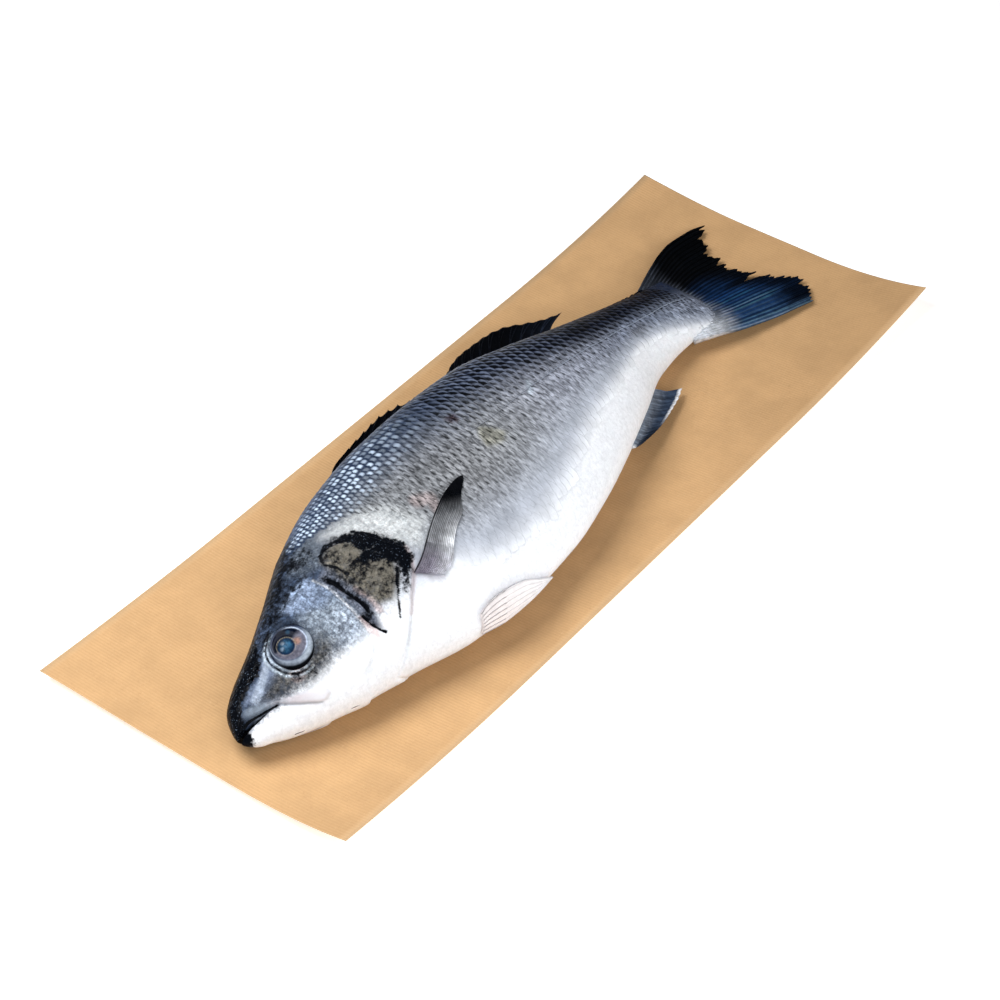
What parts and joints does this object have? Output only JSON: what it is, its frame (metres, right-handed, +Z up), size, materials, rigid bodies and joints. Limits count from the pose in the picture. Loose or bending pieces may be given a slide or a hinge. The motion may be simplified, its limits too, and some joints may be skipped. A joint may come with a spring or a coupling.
{
  "type": "raw sea bass",
  "caption": "Whole raw sea bass lying on its side on a sheet of ribbed brown kraft paper, left flank up, fins folded and tail spread.",
  "frame": {"origin": "on the surface that the paper lies on, under the middle of the sheet", "axes": "+X along the sheet from the fish's snout to its tail, +Y from its belly to its back, +Z up"},
  "size_m": [0.4, 0.15, 0.0521],
  "materials": {
    "fish_skin": "wet silver skin with small overlapping scales, blue-black on the back and white on the belly",
    "fish_eye": "wet and glossy, clouded blue pupil in a silver and dark blue iris",
    "kraft_paper": "matt, with fine ribs across the sheet"
  },
  "bodies": {
    "root": {"sea_bass": "fish_skin", "eye_left": "fish_eye", "eye_right": "fish_eye", "paper_sheet": "kraft_paper"}
  },
  "joints": []
}
